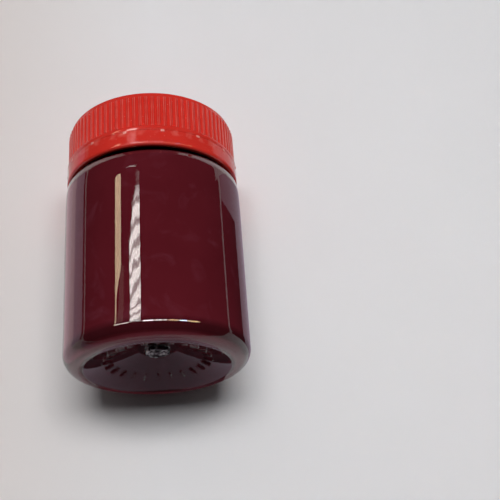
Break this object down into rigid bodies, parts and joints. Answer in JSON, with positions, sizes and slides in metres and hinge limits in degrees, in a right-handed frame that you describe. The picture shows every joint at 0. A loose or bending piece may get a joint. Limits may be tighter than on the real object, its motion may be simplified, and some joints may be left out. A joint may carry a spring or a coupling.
{
  "type": "paint jar",
  "caption": "Round clear plastic jar filled with dark paint, with a push-up base, a threaded neck, a ribbed screw cap, a seal liner and a tamper-evident band.",
  "frame": {"origin": "on the jar's axis, at the plane of the foot ring that it stands on", "axes": "+Z along the jar's axis from the base to the cap; X and Y across it"},
  "size_m": [0.0486, 0.0486, 0.0705],
  "materials": {
    "clear_pet": "clear, glossy, stretch-blown",
    "paint": "wet dark maroon paint",
    "red_plastic": "moulded, satin gloss",
    "liner_foam": "soft foam wad"
  },
  "bodies": {
    "jar": {"jar": "clear_pet", "paint": "paint"},
    "band": {"tamper_band": "red_plastic"},
    "liner": {"cap_liner": "liner_foam"},
    "cap": {"screw_cap": "red_plastic"}
  },
  "joints": [
    {"name": "band_spin", "type": "hinge", "parent": "jar", "child": "band", "pos_m": [0, 0, 0.0554], "axis": [0, 0, 1], "continuous": true},
    {"name": "cap_lift", "type": "slide", "parent": "jar", "child": "liner", "axis": [0, 0, 1], "range_m": [0, 0.018]},
    {"name": "cap_turn", "type": "hinge", "parent": "liner", "child": "cap", "pos_m": [0, 0, 0.069], "axis": [0, 0, 1], "range_deg": [0, 720]}
  ],
  "couplings": [
    {"joint": "cap_lift", "follows": "cap_turn", "m_per_rad": 0.0014323}
  ]
}
